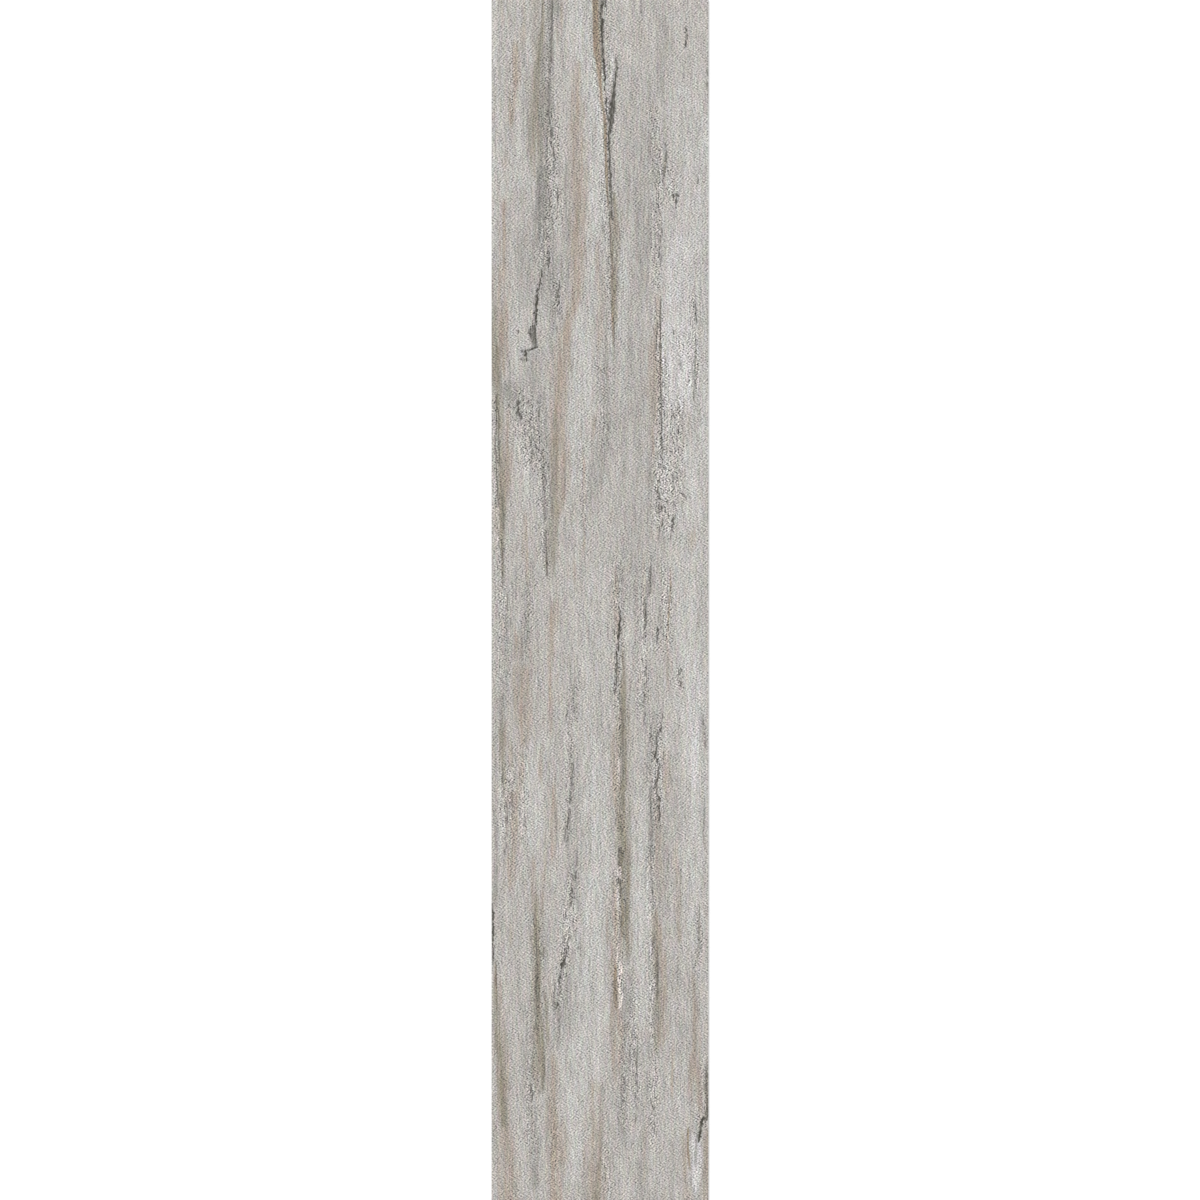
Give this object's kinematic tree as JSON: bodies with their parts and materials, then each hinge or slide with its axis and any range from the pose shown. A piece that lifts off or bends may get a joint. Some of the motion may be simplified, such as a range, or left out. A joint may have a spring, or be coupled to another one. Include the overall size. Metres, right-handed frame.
{
  "type": "peel and stick vinyl plank",
  "caption": "Flat rectangular self-adhesive vinyl plank with square-cut edges and an embossed, weathered grey wood-grain face, laid edge to edge as a floor or wall covering.",
  "frame": {"origin": "centre of the adhesive back, on the surface that the plank lies on", "axes": "+Z up, out of the printed face; +Y along the plank's length and its grain; +X across its width, to the right when the face is read with +Y up"},
  "size_m": [0.165, 0.9144, 0.002],
  "materials": {
    "printed_vinyl": "matte"
  },
  "bodies": {
    "root": {"vinyl_plank": "printed_vinyl"}
  },
  "joints": []
}
